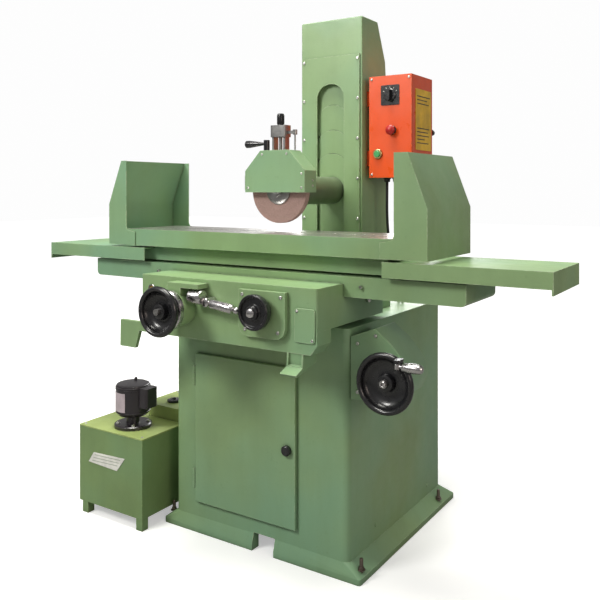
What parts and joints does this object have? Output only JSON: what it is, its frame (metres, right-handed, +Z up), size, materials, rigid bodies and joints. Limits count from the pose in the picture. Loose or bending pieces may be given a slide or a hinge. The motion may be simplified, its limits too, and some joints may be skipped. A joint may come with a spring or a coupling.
{
  "type": "surface grinder",
  "caption": "Manual surface grinder: cabinet pedestal, cross saddle, reciprocating table with splash guards, lifting wheelhead on a column, control box and coolant tank.",
  "frame": {"origin": "on the floor under the middle of the whole machine's outline", "axes": "+X to the operator's right along the table, +Y from the operator towards the column, +Z up"},
  "size_m": [1.71, 0.93, 1.63],
  "materials": {
    "green_paint": "gloss",
    "dark_green_paint": "gloss",
    "tank_green_paint": "satin",
    "orange_paint": "gloss",
    "black_gloss": "gloss",
    "black_paint": "gloss",
    "ground_steel": "brushed",
    "chrome": "polished",
    "cast_iron": "matte",
    "bronze": "satin",
    "abrasive": "matte",
    "red_plastic": "gloss",
    "green_plastic": "gloss",
    "black_rubber": "matte"
  },
  "bodies": {
    "base": {"pedestal": "green_paint", "elevation_housing": "green_paint", "elevation_belt": "black_rubber", "drive_shaft_hanger": "cast_iron", "column": "green_paint", "column_face_plate": "green_paint", "control_box": "orange_paint", "cable_front": "black_rubber", "cable_rear": "black_rubber", "crossfeed_nut": "bronze", "coolant_tank": "tank_green_paint", "tank_lid": "tank_green_paint", "coolant_pump": "black_paint"},
    "door": {"cabinet_door": "green_paint"},
    "door_lock": {"door_lock": "black_gloss"},
    "crank": {"elevation_shaft": "ground_steel", "elevation_handwheel": "black_gloss"},
    "crank_handle": {"elevation_handle": "chrome"},
    "drive_shaft": {"elevation_drive_shaft": "ground_steel"},
    "lift_screw": {"lift_screw": "ground_steel"},
    "head": {"head_carriage": "cast_iron", "lift_nut": "bronze", "spindle_housing": "dark_green_paint", "front_bearing": "ground_steel", "rear_bearing": "ground_steel", "motor_stator": "cast_iron", "slot_cover_head": "green_paint", "wheel_guard": "green_paint", "dresser_bridge": "chrome"},
    "slot_cover_1": {"slot_cover_upper_1": "green_paint"},
    "slot_cover_2": {"slot_cover_upper_2": "green_paint"},
    "slot_cover_low": {"slot_cover_lower": "green_paint"},
    "spindle": {"spindle_shaft": "ground_steel", "wheel_flange_rear": "ground_steel", "grinding_wheel": "abrasive", "wheel_flange_front": "ground_steel", "wheel_nut": "ground_steel"},
    "guard_door": {"guard_cover": "green_paint"},
    "dresser_ram": {"dresser_ram": "ground_steel"},
    "dresser_knob": {"dresser_knob": "black_gloss"},
    "dresser_lever": {"dresser_lever": "black_gloss"},
    "saddle": {"saddle": "green_paint", "drain_chute": "green_paint", "lever_sleeve": "chrome"},
    "crossfeed": {"crossfeed_screw": "ground_steel", "crossfeed_handwheel": "black_gloss"},
    "traverse": {"traverse_shaft": "ground_steel", "traverse_handwheel": "black_gloss"},
    "idler": {"idler_gear": "ground_steel"},
    "lock_lever": {"table_lock_lever": "chrome"},
    "table": {"table": "ground_steel", "way_cover_left": "green_paint", "way_cover_right": "green_paint", "splash_guard_left": "green_paint", "splash_guard_right": "green_paint"},
    "box_cover": {"control_box_cover": "orange_paint"},
    "rotary_switch": {"rotary_switch": "black_gloss"},
    "emergency_stop": {"emergency_stop": "red_plastic"},
    "start_button": {"start_button": "green_plastic"},
    "impeller": {"pump_impeller": "ground_steel"}
  },
  "joints": [
    {"name": "saddle_cross", "type": "slide", "parent": "base", "child": "saddle", "axis": [0, 1, 0], "range_m": [-0.075, 0.075]},
    {"name": "table_traverse", "type": "slide", "parent": "saddle", "child": "table", "axis": [1, 0, 0], "range_m": [-0.205, 0.205]},
    {"name": "traverse_turn", "type": "hinge", "parent": "saddle", "child": "traverse", "pos_m": [-0.144, -0.203, 0.716], "axis": [0, 1, 0], "range_deg": [-588, 588]},
    {"name": "idler_turn", "type": "hinge", "parent": "saddle", "child": "idler", "pos_m": [-0.144, -0.203, 0.776], "axis": [0, 1, 0], "range_deg": [-294, 294]},
    {"name": "crossfeed_turn", "type": "hinge", "parent": "saddle", "child": "crossfeed", "pos_m": [0.142, -0.203, 0.733], "axis": [0, 1, 0], "range_deg": [-10801, 10801]},
    {"name": "lock_lever_turn", "type": "hinge", "parent": "saddle", "child": "lock_lever", "pos_m": [-0.03, -0.203, 0.7425], "axis": [0, 1, 0], "range_deg": [-25, 35]},
    {"name": "head_lift", "type": "slide", "parent": "base", "child": "head", "axis": [0, 0, 1], "range_m": [-0.02, 0.3]},
    {"name": "slot_cover_1_slide", "type": "slide", "parent": "base", "child": "slot_cover_1", "axis": [0, 0, 1], "range_m": [-0.0165, 0.2405]},
    {"name": "slot_cover_2_slide", "type": "slide", "parent": "base", "child": "slot_cover_2", "axis": [0, 0, 1], "range_m": [-0.011, 0.1595]},
    {"name": "slot_cover_low_slide", "type": "slide", "parent": "base", "child": "slot_cover_low", "axis": [0, 0, 1], "range_m": [-0.0105, 0.1505]},
    {"name": "lift_screw_turn", "type": "hinge", "parent": "base", "child": "lift_screw", "pos_m": [0, 0.379, 1], "axis": [0, 0, 1], "range_deg": [-1441, 21601]},
    {"name": "drive_shaft_turn", "type": "hinge", "parent": "base", "child": "drive_shaft", "pos_m": [0, -0.203, 0.557], "axis": [0, 1, 0], "range_deg": [-1441, 21601]},
    {"name": "crank_turn", "type": "hinge", "parent": "base", "child": "crank", "pos_m": [0.438, -0.203, 0.557], "axis": [0, 1, 0], "range_deg": [-1441, 21601]},
    {"name": "crank_handle_fold", "type": "hinge", "parent": "crank", "child": "crank_handle", "pos_m": [0.485, -0.2695, 0.612], "axis": [0, 0, -1], "range_deg": [0, 90]},
    {"name": "spindle_spin", "type": "hinge", "parent": "head", "child": "spindle", "pos_m": [0, -0.203, 1.048], "axis": [0, 1, 0], "continuous": true},
    {"name": "guard_door_hinge", "type": "hinge", "parent": "head", "child": "guard_door", "pos_m": [-0.1095, -0.1045, 1.1], "axis": [0, 0, 1], "range_deg": [-110, 0]},
    {"name": "dresser_feed", "type": "slide", "parent": "head", "child": "dresser_ram", "axis": [0, 0, 1], "range_m": [-0.0095, 0]},
    {"name": "dresser_knob_turn", "type": "hinge", "parent": "head", "child": "dresser_knob", "pos_m": [0, -0.072, 1.25], "axis": [0, 0, 1], "range_deg": [-1, 3422]},
    {"name": "dresser_lever_turn", "type": "hinge", "parent": "head", "child": "dresser_lever", "pos_m": [-0.0525, -0.072, 1.193], "axis": [0, 0, 1], "range_deg": [-25, 25]},
    {"name": "cabinet_door_hinge", "type": "hinge", "parent": "base", "child": "door", "pos_m": [-0.2205, -0.215, 0.32], "axis": [0, 0, 1], "range_deg": [-115, 0]},
    {"name": "door_lock_turn", "type": "hinge", "parent": "door", "child": "door_lock", "pos_m": [0.12, -0.203, 0.3175], "axis": [0, 1, 0], "range_deg": [0, 90]},
    {"name": "box_cover_hinge", "type": "hinge", "parent": "base", "child": "box_cover", "pos_m": [0.292, 0.244, 1.25], "axis": [0, 0, 1], "range_deg": [0, 110]},
    {"name": "rotary_switch_turn", "type": "hinge", "parent": "box_cover", "child": "rotary_switch", "pos_m": [0.2165, -0.203, 1.3595], "axis": [0, 1, 0], "range_deg": [-45, 45]},
    {"name": "emergency_stop_push", "type": "slide", "parent": "box_cover", "child": "emergency_stop", "axis": [0, 1, 0], "range_m": [0, 0.006], "stiffness_N_per_m": 800},
    {"name": "start_button_push", "type": "slide", "parent": "box_cover", "child": "start_button", "axis": [0, 1, 0], "range_m": [0, 0.004], "stiffness_N_per_m": 600},
    {"name": "impeller_spin", "type": "hinge", "parent": "base", "child": "impeller", "pos_m": [-0.48, -0.2206, 0.2], "axis": [0, 0, 1], "continuous": true}
  ],
  "couplings": [
    {"joint": "traverse_turn", "follows": "table_traverse", "rad_per_m": -50},
    {"joint": "idler_turn", "follows": "table_traverse", "rad_per_m": 25},
    {"joint": "crossfeed_turn", "follows": "saddle_cross", "rad_per_m": 2513.3},
    {"joint": "slot_cover_1_slide", "follows": "head_lift", "ratio": 0.8},
    {"joint": "slot_cover_2_slide", "follows": "head_lift", "ratio": 0.53},
    {"joint": "slot_cover_low_slide", "follows": "head_lift", "ratio": 0.5},
    {"joint": "lift_screw_turn", "follows": "head_lift", "rad_per_m": 1256.6},
    {"joint": "drive_shaft_turn", "follows": "head_lift", "rad_per_m": 1256.6},
    {"joint": "crank_turn", "follows": "head_lift", "rad_per_m": 1256.6},
    {"joint": "dresser_knob_turn", "follows": "dresser_feed", "rad_per_m": -6283.2}
  ]
}
